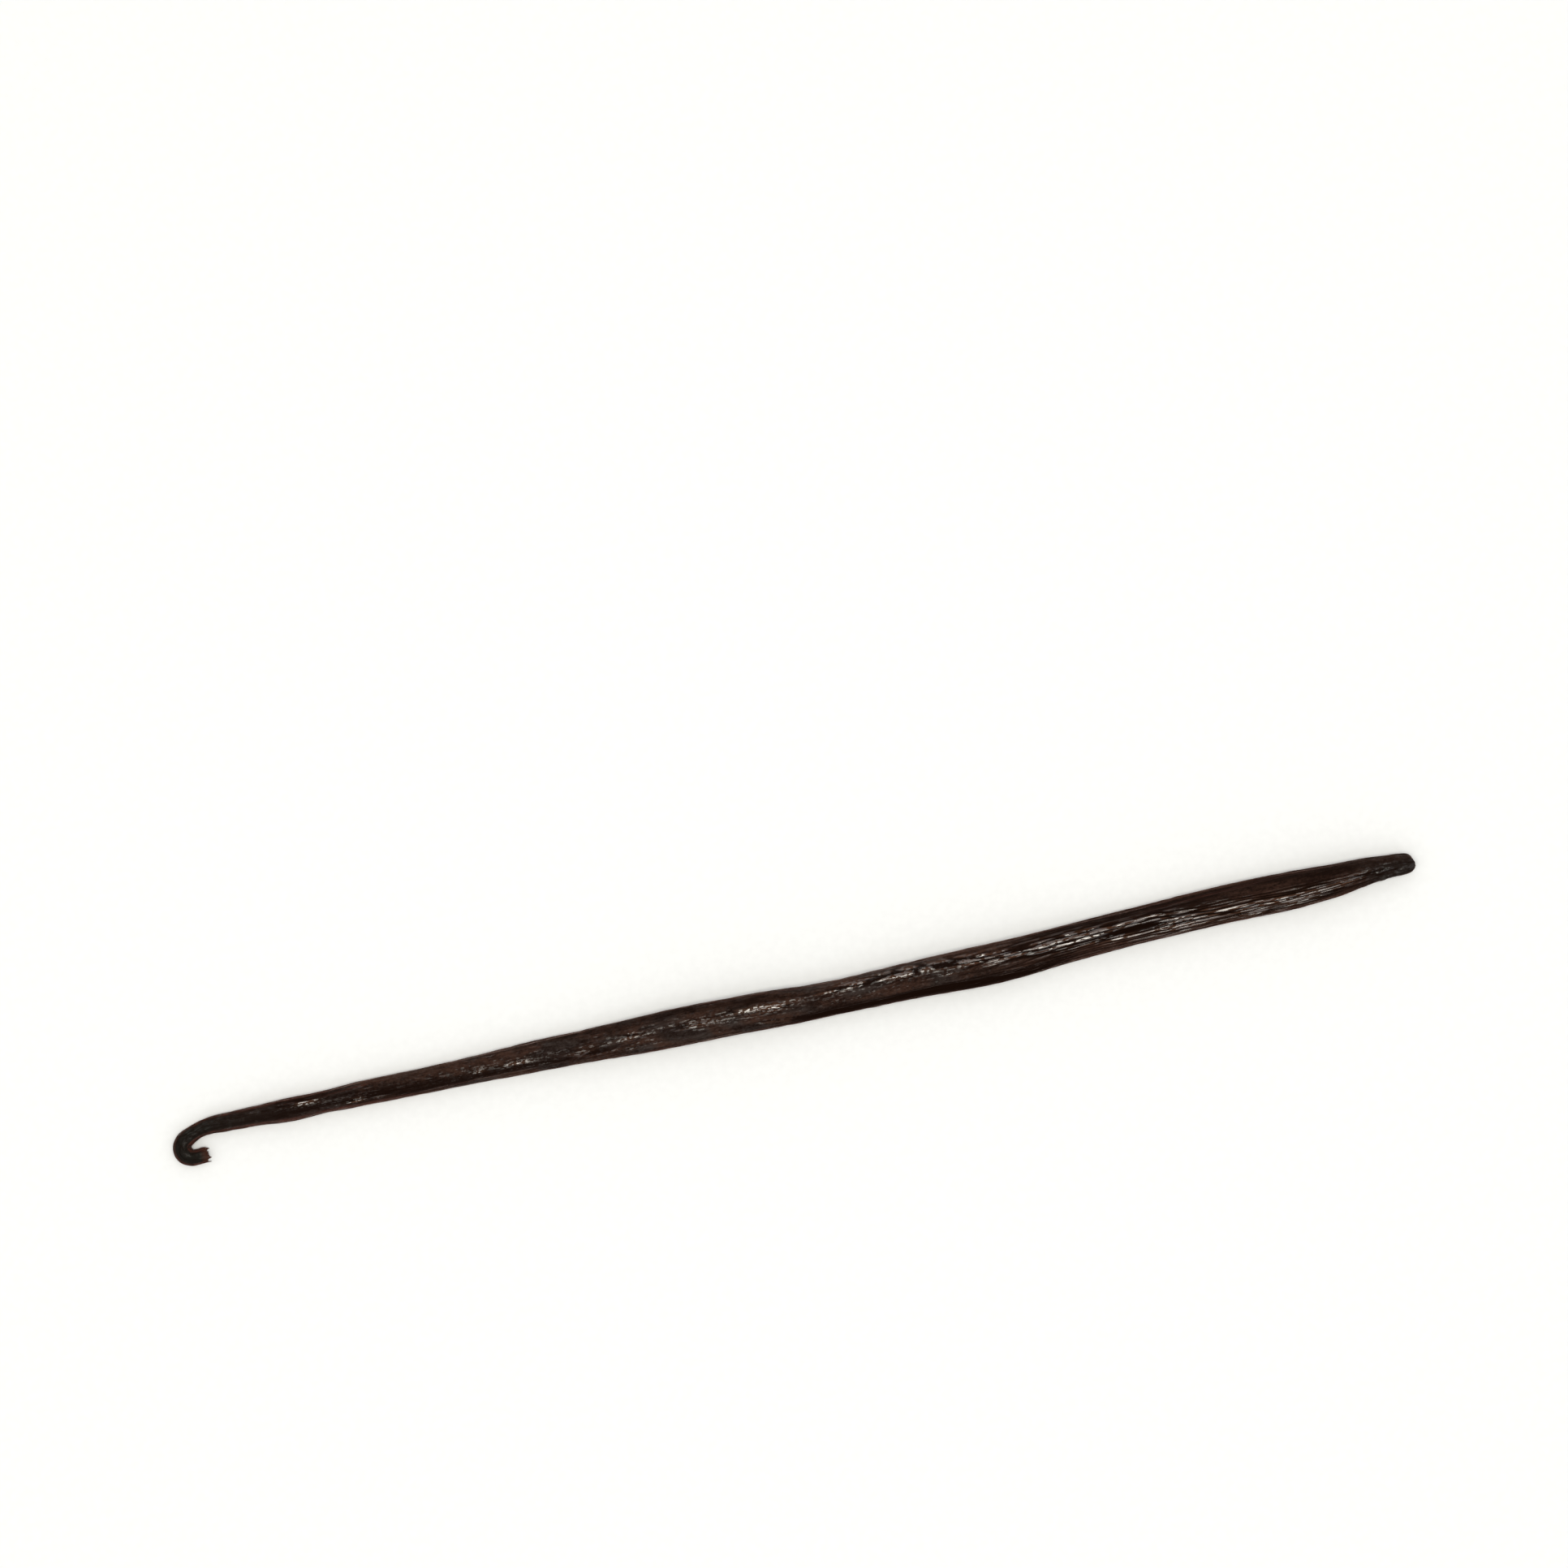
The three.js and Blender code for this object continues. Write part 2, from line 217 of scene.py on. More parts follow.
# The tone of the skin runs from 0 for near-black to 1 for brown. Patches of it are darker or
# browner: they start, end, lie beside, are that wide and change the tone by that much. Some
# paint light and shade: the black ones paint shade in folds and in the gaps between wrinkles,
# and the pale lines along the flanks paint highlights.
TONE = 0.435
PATCHES = [
    (-12, 18, 0.55, 0.3, -0.33),  # the dark neck
    (-2, 20, 0.92, 0.1, 0.5),
    (20, 34, 0.05, 0.07, 0.8),
    (19, 40, 0.66, 0.15, -0.75),
    (19, 42, 0.14, 0.14, 0.25),
    (22, 34, 0.96, 0.04, 0.4),
    (35, 44, 0.9, 0.07, 0.5),
    (38, 49, 0.76, 0.06, -0.4),  # painted shade along a furrow
    (44, 60, 0.62, 0.08, 0.25),
    (44, 80, 0.13, 0.09, -0.25),
    (58, 68, 0.86, 0.05, 0.45),
    (76, 88, 0.06, 0.07, 0.5),  # a painted highlight: a paler line along the left flank
    (79, 112, 0.88, 0.07, -2.2),  # a fold low on the right flank, painted black as its shade
    (92, 109, 0.8, 0.04, -1.2),
    (84, 113, 0.62, 0.14, 0.24),
    (82, 104, 0.15, 0.1, 0.5),
    (91, 94, 0.27, 0.04, -1.0),
    (112, 158, 0.17, 0.24, -0.36),  # the smooth dark face
    (108, 138, 0.01, 0.03, 0.5),
    (134, 147, 0.22, 0.05, 0.15),
    (112, 118, 0.56, 0.05, -0.5),
    (117, 127, 0.53, 0.08, -1.3),  # painted shade: black gaps between the wet wrinkles
    (120, 128, 0.6, 0.05, -1.0),
    (127, 131, 0.69, 0.04, -0.8),
    (130, 134, 0.61, 0.05, -1.1),
    (139, 152, 0.88, 0.05, -0.5),
    (147, 152, 0.78, 0.05, -0.7),
    (116, 153, 0.78, 0.18, 0.28),  # browner under the oily wrinkles
    (116, 153, 0.97, 0.06, 0.5),
]
PATCH_FADE = 3  # the longest way over which a patch comes and goes
FOLD_TONE = -0.2  # under this tone the skin is folded in, and painted with the creases' shade

# What the skin's material reads from the mesh, beside the place on the straight pod.
SKIN_LOOKS = ["crease_shade", "gloss", "tone", "dry", "drawn", "wet", "rim", "stem", "torn"]
# The grains of the skin's material: cells in a metre, how much longer they are along the
# pod, levels of detail and their roughness.
SKIN_GRAINS = {
    "streaks": (4300, 8, 1, 0.4),
    "dashes": (5200, 5, 1, 0.45),
    "specks": (3200, 1.8, 1, 0.5),
    "clouds": (420, 2.2, 1, 0.5),
    "mottle": (1500, 1.8, 4, 0.65),
    "tooth": (5000, 1.5, 2, 0.5),
}

# Small pits, strewn over the body: how many, and the least and most of where they are along,
# of their girth, length, spread in radians, and depth as a share of the wrinkles' depth.
PITS = 70
PIT_RANGES = [(2, 158), (1.5, 5.0), (0.25, 0.7), (0.05, 0.11), (0.4, 1)]


# ---------------------------------------------------------------- numbers along and around

def smooth_through(table, at):
    """A curve through the table's values: between two places it is the cubic that leaves
    and arrives with the mean slope of the chords on either side of each place."""
    table = np.asarray(table, float)
    places, values = table[:, 0], table[:, 1:]
    steps = np.diff(places)
    chords = np.diff(values, axis=0) / steps[:, None]
    slopes = np.concatenate([chords[:1], (chords[1:] + chords[:-1]) / 2, chords[-1:]])
    at = np.clip(at, places[0], places[-1])
    i = np.clip(np.searchsorted(places, at, side="right") - 1, 0, len(steps) - 1)
    step = steps[i][:, None]
    p = (at - places[i])[:, None] / step
    return ((1 + 2 * p) * (1 - p) ** 2 * values[i] + p * (1 - p) ** 2 * step * slopes[i]
            + p**2 * (3 - 2 * p) * values[i + 1] + p**2 * (p - 1) * step * slopes[i + 1])


def eased(x, start, end):
    """0 before start and 1 after end, with an S-shaped cubic between them."""
    p = np.clip((x - start) / (end - start), 0, 1)
    return p * p * (3 - 2 * p)


def turned(angle):
    """The angle brought to between minus and plus half a turn."""
    return (angle + math.pi) % FULL_TURN - math.pi


def hump(x, width):
    """1 where x is 0, and fading on both sides as a bell curve of that width."""
    return np.exp(-((x / width) ** 2))


def wander(rng, around, along, cells, length):
    """Smooth random numbers over the skin, of mean 0 and spread 1.

    A lattice of random numbers has so many cells round the pod and one row for each
    length along it. Each point takes the cubic B-spline of the 4 by 4 lattice numbers
    about it, and the lattice closes on itself round the pod.
    """
    rows = int(np.ceil((along.max() - along.min()) / length)) + 5
    lattice = rng.standard_normal((rows, cells))
    u = around / FULL_TURN * cells
    v = (along - along.min()) / length + 1
    column, row = np.floor(u).astype(int), np.floor(v).astype(int)

    def weights(f):
        return ((1 - f) ** 3 / 6, (3 * f**3 - 6 * f**2 + 4) / 6,
                (-3 * f**3 + 3 * f**2 + 3 * f + 1) / 6, f**3 / 6)

    total = np.zeros(np.broadcast(u, v).shape)
    for b, down in enumerate(weights(v - row)):
        for a, across in enumerate(weights(u - column)):
            total += down * across * lattice[(row + b - 1) % rows, (column + a - 1) % cells]
    b_spline_spread = 0.479
    return total / b_spline_spread


# ------------------------------------------------------------------------ the pod's form

def middle_line(along):
    """The middle line in plan, and its heading.

    Ahead of the shoulder it runs straight, half way between the flanks. Behind it come an
    arc of NECK_RADIUS and one of HOOK_RADIUS, both turning right, and a straight stub.
    """
    def right(heading):
        return np.stack([np.sin(heading), -np.cos(heading)], axis=-1)

    neck_turn = np.clip(-along, 0, NECK_LENGTH) / NECK_RADIUS
    hook_turn = np.clip(-along - NECK_LENGTH, 0, HOOK_LENGTH) / HOOK_RADIUS
    heading = neck_turn + hook_turn
    stub = np.clip(-along - NECK_LENGTH - HOOK_LENGTH, 0, None)[:, None]
    point = right(np.zeros_like(along)) * NECK_RADIUS - right(neck_turn) * NECK_RADIUS
    point += right(neck_turn) * HOOK_RADIUS - right(heading) * HOOK_RADIUS
    point -= stub * np.stack([np.cos(heading), np.sin(heading)], axis=-1)
    ahead = np.maximum(along, 0)
    point += np.stack([ahead, smooth_through(FLANKS, ahead).mean(axis=1)], axis=-1)
    return point, heading


def half_width(along):
    """Half the distance between the flanks, or half the stem's width."""
    flanks = smooth_through(FLANKS, along)
    places = np.linspace(0, STEM_LENGTH, len(STEM_WIDTHS))
    stem = smooth_through(np.stack([places, STEM_WIDTHS], axis=1), -along)[:, 0]
    return np.where(along < 0, stem, flanks[:, 0] - flanks[:, 1]) / 2


def half_thickness(along):
    """The half width times a share that goes from the stem's to the body's."""
    flatter = eased(along, 0, FLATTENING_LENGTH)
    return half_width(along) * (STEM_THICKNESS + (BODY_THICKNESS - STEM_THICKNESS) * flatter)


def lift(along):
    """The sum of raised cosines, one for each place where the pod lifts off the table."""
    away = [np.minimum(np.abs(along - at) / reach, 1) for at, reach, _ in LIFTS]
    return sum(height * (1 + np.cos(math.pi * a)) / 2 for a, (_, _, height) in zip(away, LIFTS))


def furrow(around, along):
    """The deepest of the broad furrows at each point, from 0 to 1: bell curves round the
    section whose middles wander and whose depths come and go as sines along the pod."""
    def wave(length, phase):
        return np.sin(FULL_TURN * along / length + phase)

    deepest = np.zeros(np.broadcast(around, along).shape)
    for k in range(FURROWS):
        phase = k * GOLDEN_ANGLE
        middle = FULL_TURN * k / FURROWS + FURROW_WANDER * wave(FURROW_WANDER_LENGTH, phase)
        shown = (1 + wave(FURROW_FADE_LENGTH, 2 * phase)) / 2
        presence = FURROW_LEAST + (1 - FURROW_LEAST) * shown
        deepest = np.maximum(deepest, presence * hump(turned(around - middle), FURROW_SPREAD))
    return deepest


def fitted(numbers, half):
    """Each row of numbers, moved and scaled so that it runs from -half to half."""
    low, high = numbers.min(axis=1), numbers.max(axis=1)
    return (2 * (numbers - low[:, None]) / (high - low)[:, None] - 1) * half[:, None]


def tip_share(along):
    """How much of the full section is left: 1, and closing at the tip as a superellipse of
    TIP_BLUNTNESS down to the scar's share."""
    into = np.clip((along - BODY_LENGTH) / TIP_ROUNDING + 1, 0, 1)
    return (1 - into**TIP_BLUNTNESS * (1 - SCAR_SHARE**TIP_BLUNTNESS)) ** (1 / TIP_BLUNTNESS)


def section(angles, along):
    """Across and up from the middle line: four quarters of superellipses, which meet at the
    ridge, the flanks and the sole, with the furrows cut in, fitted to the pod's width and
    thickness."""
    ridge, left, right = smooth_through(TOPS, np.maximum(along, 0)).T[..., None]
    cos, sin = np.cos(angles), np.sin(angles)
    apex = np.where(sin < 0, 0, ridge)
    fullness = np.where(sin < 0, 2, np.where(cos > 0, left, right))
    reach = np.where(cos > 0, 1, -1) - apex
    kept = 1 - FURROW_SHARE * furrow(angles, along[:, None])
    across = apex + reach * np.abs(cos) ** (2 / fullness)
    up = np.sign(sin) * np.abs(sin) ** (2 / fullness)
    share = tip_share(along)
    return (fitted(across * kept, half_width(along) * share),
            fitted(up * kept, half_thickness(along) * share))


def spaced(along, sides):
    """The angle and the girth of each point round each section. The points are evenly
    spaced along the outline, but closer together on the upper side than on the sole: a
    piece of the outline counts for its length, and for more the higher it lies."""
    count = 721
    closer = 1.3
    fine = np.broadcast_to(np.linspace(-math.pi / 2, 1.5 * math.pi, count), (len(along), count))
    across, up = section(fine, along)
    lengths = np.hypot(np.diff(across, axis=1), np.diff(up, axis=1))
    height = (up[:, 1:] + up[:, :-1]) / 2 / half_thickness(along)[:, None]
    weights = lengths * (1 + closer * eased(height, -0.7, 0.1))
    turns = np.arange(sides) / sides
    angles, girth = np.empty((2, len(along), sides))
    for i, (length, weight) in enumerate(zip(lengths, weights)):
        spent = np.concatenate([[0], np.cumsum(weight)]) / weight.sum()
        gone = np.concatenate([[0], np.cumsum(length)]) / length.sum()
        angles[i] = np.interp(turns, spent, fine[i])
        girth[i] = FULL_TURN * np.interp(turns, spent, gone)
    return angles, girth


def skin_points(angles, along):
    """The pressed form of the pod: the section at each place, across the middle line and
    so high that its lowest point would be PRESSED below the height that the pod is lifted
    there, with nothing left below that height. Returns points, across and up."""
    across, up = section(angles, along)
    point, heading = middle_line(along)
    base = half_thickness(along) + lift(along) - PRESSED
    x = point[:, :1] - across * np.sin(heading)[:, None]
    y = point[:, 1:] + across * np.cos(heading)[:, None]
    z = np.maximum(base[:, None] + up, lift(along)[:, None])
    return np.stack([x, y, z], axis=-1), across, up


def outward(points):
    """The unit normals of a grid that is closed round its rows: the cross product of the
    central differences round the section and along the pod."""
    round_it = np.roll(points, -1, axis=1) - np.roll(points, 1, axis=1)
    along_it = np.gradient(points, axis=0)
    normals = np.cross(round_it, along_it)
    return normals / np.maximum(np.linalg.norm(normals, axis=-1, keepdims=True), 1e-9)


# ------------------------------------------------------------------------ the cured skin

def oiliness(along, beside):
    """How oily the skin is: a bell curve across the pod whose middle, width and height
    follow OILY, and for each of the GLINTS a product of one along and one across."""
    middle, width, amount = smooth_through(OILY, along).T[..., None]
    oily = amount * hump(beside - middle, width)
    for at, side, reach, width, amount in GLINTS:
        oily = oily + amount * hump(along[:, None] - at, reach) * hump(beside - side, width)
    return oily


def patched(along, beside):
    """What the patches add to the tone: for each a bell curve across the pod, which comes
    and goes along it."""
    change = np.zeros(beside.shape)
    for start, end, side, width, amount in PATCHES:
        fade = min(PATCH_FADE, (end - start) / 3)
        comes = eased(along[:, None], start - fade, start + fade)
        goes = eased(along[:, None], end - fade, end + fade)
        change += amount * comes * (1 - goes) * hump(beside - side, width)
    return change


def pitted(rng, girth, along):
    """The pits: products of a bell curve along the pod and one round it."""
    pits = np.zeros(girth.shape)
    for _ in range(PITS):
        at, turn, length, spread, share = (rng.uniform(*limits) for limits in PIT_RANGES)
        pits += share * hump(along - at, length) * hump(turned(girth - turn), spread)
    return pits


def wrinkled(rng, girth, along, beside, depth):
    """The relief of the cured skin, and the look that goes with it.

    Wrinkles are the lines where a long, warped random field crosses zero: each is a
    valley with a bell-shaped section, so wrinkles wander, fork and meet. A finer field
    gives shallower ones between them, and where the skin is drawn out, a bent sine round
    the pod takes the long field's place. Their crests stand out and gleam where the skin
    is oily, and are flatter where it is wet. Lumps with crinkled gaps between them cover
    the dry ends, and the skin is folded in where its tone is far below black. The crease
    look is painted shade: it darkens the wrinkles' valleys, the crinkled gaps, the gaps
    between oily crests, the pits and the folds. Returns the relief in millimetres and the
    looks, which run from 0 to 1: crease, gloss, tone, dry, drawn and wet.
    """
    row = along
    along = np.broadcast_to(along[:, None], girth.shape)

    def field(name, around):
        return wander(rng, around, along, *FIELDS[name])

    ridge = (1 - smooth_through(TOPS, np.maximum(row, 0))[:, :1]) / 2
    right, left = smooth_through(WRINKLES, row).T[..., None]
    strength = left + (right - left) * eased(beside - ridge, -0.1, 0.06)

    bent = girth + 0.08 * field("sway", girth) + 0.03 * field("bend", girth)
    fine = field("fine lines", bent)
    lines = 0.8 * field("lines", bent) + 0.6 * fine
    phase = 1.3 * field("drawn sway", bent) + 0.5 * field("drawn bend", bent)
    comb = np.sin(DRAWN_LINES * bent + phase)
    drawn = eased(along, *DRAWN_FROM) * (1 - eased(along, *DRAWN_TO))
    lines = lines + drawn * (1.25 * comb + 0.35 * fine - lines)
    fibres = field("fibres", bent)
    pebble, swells, lumps, clumps = (
        field(name, girth) for name in ("pebble", "swells", "lumps", "clumps"))

    # The stem is dry all round, and the tip less so on its smooth left face.
    dry_stem = 1 - eased(along, *DRY_STEM)
    dry_tip = eased(along, *DRY_TIP) * (0.3 + 0.7 * eased(beside, 0.2, 0.45))
    dry = np.clip(dry_stem + dry_tip, 0, 1)
    oily = oiliness(row, beside)
    oily = oily * (1 - 0.6 * dry) * np.clip(1 + 0.55 * drawn * clumps, 0.1, 1.6)
    wet = np.clip(oily - WET_FROM, 0, WET_RANGE)
    crinkle = hump(lumps, 0.3)
    crest = CREST - WET_FLATTENING * wet
    relief = strength * (np.minimum(np.abs(lines), crest) - MEAN_CREST)
    relief += FIBRE * (1 + oily) * fibres * np.minimum(1, strength * 2)
    relief += PEBBLE * pebble + SWELL * swells + dry * (LUMP * lumps - CRINKLE * crinkle)

    # Painted shade: the crease look darkens the wrinkles' valleys, the crinkled gaps of the dry ends,
    # the gaps between oily crests and the pits.
    crease_shade = strength * (hump(lines, 0.3 + 0.2 * drawn) + 0.25 * hump(fibres, 0.3))
    crease_shade = crease_shade + 0.55 * dry * crinkle
    between_crests = 1 - eased(np.abs(lines), 0.25, 0.6 + 0.4 * drawn)
    crease_shade = crease_shade + np.minimum(oily, 1) * between_crests
    pits = pitted(rng, girth, along)
    relief -= pits
    crease_shade = crease_shade + 0.6 * pits

    least = 0.25 + 0.55 * drawn - 0.55 * wet * drawn
    gloss = oily * eased(np.abs(lines), least, least + 0.45 - 0.15 * drawn)
    tone = TONE + 0.08 * field("broad tone", bent) + 0.13 * field("fine tone", bent)
    tone = tone + patched(row, beside)
    # Tone far below black folds the skin in, and paints it with the creases' painted shade.
    fold = np.clip(FOLD_TONE - tone, 0, 1)
    relief -= FOLD * fold
    crease_shade = crease_shade + fold
    looks = {"crease_shade": crease_shade, "gloss": gloss * (1 - fold), "tone": tone, "dry": dry,
             "drawn": drawn, "wet": wet / WET_RANGE}
    return depth * relief, {name: np.clip(look, 0, 1) for name, look in looks.items()}


def dented(angles, along):
    """The dents and lumps near the tear: products of a bell curve along the stem and one
    round it."""
    from_tear = (along + STEM_LENGTH)[:, None]
    return sum(height * hump(from_tear - at, reach) * hump(turned(angles - turn), spread)
               for at, reach, turn, spread, height in DENTS)


def painted_rim_glow(along, normals):
    """How far the flanks get a red glow, painted light at the pod's outline, from 0: it sets
    in where the skin is steep, sooner and stronger on the stem's side of the pod, and fades
    where the skin is upright."""
    by_stem = 1 - eased(along, 16, 30)[:, None]
    steep = 1 - np.abs(normals[..., 2])
    first = 0.35 - 0.23 * by_stem
    upright = eased(steep, 0.5, 0.95)
    return eased(steep, first, first + 0.35) * (1 - 0.85 * upright) * (0.75 + 0.6 * by_stem)


# --------------------------------------------------------------------- the pod's two ends

def shrunk(ring, share, shift):
    """A copy of a ring of points, drawn in to its own middle and moved."""
    middle = ring.mean(axis=0)
    return middle + (ring - middle) * share + shift


def closing_rows(rng, rim, rows, ahead, roughness):
    """Rings inside a rim, each the rim shrunk to a share of itself and moved ahead, and
    each of their points moved a little more at random."""
    rings = []
    for share, depth in rows:
        rough = rng.normal(0, roughness, len(rim))[:, None] * ahead
        rings.append(shrunk(rim, share, depth * ahead) + rough)
    return np.array(rings)


def tear(rng, points, angles, along):
    """The torn end: the rows near it are drawn out to uneven teeth, which are bell curves
    round the rim with finer random ones on them. A fibrous hollow goes in from the rim.
    Returns the skin's points, the hollow's rows and how far the teeth reach."""
    around = angles[0]
    _, heading = middle_line(along[:1])
    inward = np.array([math.cos(heading[0]), math.sin(heading[0]), 0])
    teeth = SMALL_TOOTH * np.abs(wander(rng, around, np.zeros_like(around), SMALL_TEETH, 1))
    for at, width, length in TEETH:
        teeth = teeth + length * hump(turned(around - at), width)
    rim = points[0]
    share = np.clip(1 - (along + STEM_LENGTH) / TEAR_LENGTH, 0, 1) ** 1.5
    drawn_out = points - share[:, None, None] * teeth[:, None] * inward
    return drawn_out, closing_rows(rng, rim, HOLLOW, inward, HOLLOW_ROUGHNESS), teeth


# ------------------------------------------------------------------------- the whole skin

def rows_along(rows):
    """Where the rows of points are along the pod: evenly spaced on the stem and the body,
    and at the tip as the sine of even steps, so that they crowd towards the scar."""
    stem_rows = max(rows // 5, 8)
    tip_rows = max(rows // 16, 6)
    closing = np.sin(np.linspace(0, math.pi / 2, tip_rows))
    return np.concatenate([
        np.linspace(-STEM_LENGTH, 0, stem_rows, endpoint=False),
        np.linspace(0, BODY_LENGTH - TIP_ROUNDING, rows, endpoint=False),
        BODY_LENGTH - TIP_ROUNDING * (1 - closing),
    ])


def with_ends(values):
    """The values of the skin's rows, with the first row's also for the rows of the hollow
    and the last row's for those of the scar."""
    return np.concatenate([np.repeat(values[:1], len(HOLLOW), axis=0), values,
                           np.repeat(values[-1:], len(SCAR), axis=0)])


def in_frame(grid, low, high):
    """The grid in metres, with the middle of the plain form's box over the middle of the
    solid's box, and the table at the solid's lowest point."""
    middle = np.array([*(low + high)[:2] / 2, 0])
    node_low, node_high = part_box("vanilla_pod")
    target = [(node_low.x + node_high.x) / 2, (node_low.y + node_high.y) / 2, node_low.z]
    return (grid - middle) * MM + np.array(target)


def pod_grid(shape):
    """All rows of the skin, from the middle of the torn end to the middle of the scar.
    Returns the grid, the same grid laid straight for the materials, both in metres, and
    the looks."""
    rng = np.random.default_rng(shape.seed)
    along = rows_along(shape.rows)
    angles, girth = spaced(along, shape.sides)
    points, across, up = skin_points(angles, along)
    low, high = points.min(axis=(0, 1)), points.max(axis=(0, 1))
    normals = outward(points)
    beside = (1 - across / (half_width(along) * tip_share(along))[:, None]) / 2

    # The relief is lower on the thin stem, at the tip and where the pod rests.
    relief, looks = wrinkled(rng, girth, along, beside, shape.wrinkle_depth / MM)
    # Painted light: how much red glow the steep flanks are painted with.
    looks["rim"] = painted_rim_glow(along, normals)
    looks["stem"] = np.broadcast_to(1 - eased(along, -3, 7)[:, None], girth.shape)
    floor = lift(along)[:, None]
    relief *= np.clip(half_width(along) / THICK_ENOUGH, 0.35, 1)[:, None]
    relief *= 1 - 0.85 * eased(along, BODY_LENGTH - TIP_ROUNDING, BODY_LENGTH)[:, None]
    relief *= np.where(points[..., 2] < floor + 0.02, REST_RELIEF, 1)
    relief += dented(angles, along)
    points = points + normals * relief[..., None]

    slant = TIP_CHAMFER * eased(along, BODY_LENGTH - CHAMFER_LENGTH, BODY_LENGTH)[:, None]
    points[..., 0] -= slant * eased(1 - 2 * beside, -0.3, 1)
    points[..., 2] = np.maximum(points[..., 2], floor)

    points, hollow, teeth = tear(rng, points, angles, along)
    scar = closing_rows(rng, points[-1], SCAR, np.array([1.0, 0, 0]), SCAR_ROUGHNESS)
    grid = np.concatenate([hollow, points, scar])

    straight = np.stack([np.broadcast_to(along[:, None], across.shape), across, up], axis=-1)
    straight = with_ends(straight)
    straight[:len(hollow)] *= np.linspace(0.2, 0.9, len(hollow))[:, None, None]
    looks = {name: with_ends(values) for name, values in looks.items()}
    torn = np.zeros(grid.shape[:2])
    torn[:len(hollow)] = 1
    for row, share in enumerate(TORN_EDGE, len(hollow)):
        torn[row] = share * np.clip(0.3 + teeth / 0.5, 0, 1)
    looks["torn"] = torn
    return in_frame(grid, low, high), straight * MM, looks


# ------------------------------------------------------------------------------- meshes

def grid_faces(rows, sides):
    """The corners of all faces over a grid, and how many each face has: quads between the
    rows, which are closed round, and a fan from a hub to the first and to the last row.
    The hubs are the two points after the grid's."""
    i, j = np.meshgrid(np.arange(rows - 1), np.arange(sides), indexing="ij")
    a, b = i * sides + j, i * sides + (j + 1) % sides
    quads = np.stack([a, b, b + sides, a + sides], axis=-1)
    first = np.arange(sides)
    after = (first + 1) % sides
    last = (rows - 1) * sides
    hub = np.full(sides, rows * sides)
    first_fan = np.stack([hub, after, first], axis=-1)
    last_fan = np.stack([hub + 1, last + first, last + after], axis=-1)
    corners = np.concatenate([quads.ravel(), first_fan.ravel(), last_fan.ravel()])
    return corners, np.repeat([4, 3], [(rows - 1) * sides, 2 * sides])


def grid_uv(rows, sides):
    """The UV map of those corners: u runs round the pod, with its seam under it, and v runs
    along it."""
    i, j = np.meshgrid(np.arange(rows - 1), np.arange(sides), indexing="ij")
    u = np.concatenate([np.stack([j, j + 1, j + 1, j], axis=-1).ravel(),
                        np.stack([j[0] + 0.5, j[0] + 1, j[0]], axis=-1).ravel(),
                        np.stack([j[0] + 0.5, j[0], j[0] + 1], axis=-1).ravel()])
    v = np.concatenate([np.stack([i, i, i + 1, i + 1], axis=-1).ravel(),
                        np.zeros(3 * sides), np.full(3 * sides, rows - 1)])
    return np.stack([u / sides, v / (rows - 1)], axis=-1)


def with_hubs(values):
    """A flat list of the grid's values, with the means of its first and last row after it."""
    rows, sides = values.shape[:2]
    flat = values.reshape(rows * sides, -1)
    return np.concatenate([flat, [flat[:sides].mean(axis=0)], [flat[-sides:].mean(axis=0)]])


def closed_mesh(name, grid, numbers, vectors):
    """A smooth closed mesh over a grid that is closed round, with a UV map, and with named
    numbers and vectors at its points."""
    corners, sizes = grid_faces(*grid.shape[:2])
    starts = np.concatenate([[0], np.cumsum(sizes)[:-1]])
    points = with_hubs(grid)
    mesh = bpy.data.meshes.new(name)
    mesh.vertices.add(len(points))
    mesh.loops.add(len(corners))
    mesh.polygons.add(len(sizes))
    mesh.vertices.foreach_set("co", points.astype(np.float32).ravel())
    mesh.loops.foreach_set("vertex_index", corners.astype(np.int32))
    mesh.polygons.foreach_set("loop_start", starts.astype(np.int32))
    mesh.polygons.foreach_set("loop_total", sizes.astype(np.int32))
    mesh.update(calc_edges=True)
    uv = mesh.uv_layers.new(name="skin")
    uv.uv.foreach_set("vector", grid_uv(*grid.shape[:2]).astype(np.float32).ravel())
    for key, values in numbers.items():
        layer = mesh.attributes.new(key, "FLOAT", "POINT")
        layer.data.foreach_set("value", with_hubs(values).astype(np.float32).ravel())
    for key, values in vectors.items():
        layer = mesh.attributes.new(key, "FLOAT_VECTOR", "POINT")
        layer.data.foreach_set("vector", with_hubs(values).astype(np.float32).ravel())
    mesh.shade_smooth()
    mesh.validate()
    return mesh


def shown(name, mesh, material):
    """A new object at the origin that shows the mesh in the material."""
    piece = bpy.data.objects.new(name, mesh)
    mesh.materials.append(material)
    bpy.context.scene.collection.objects.link(piece)
    return piece


# ---------------------------------------------------------------------------- materials

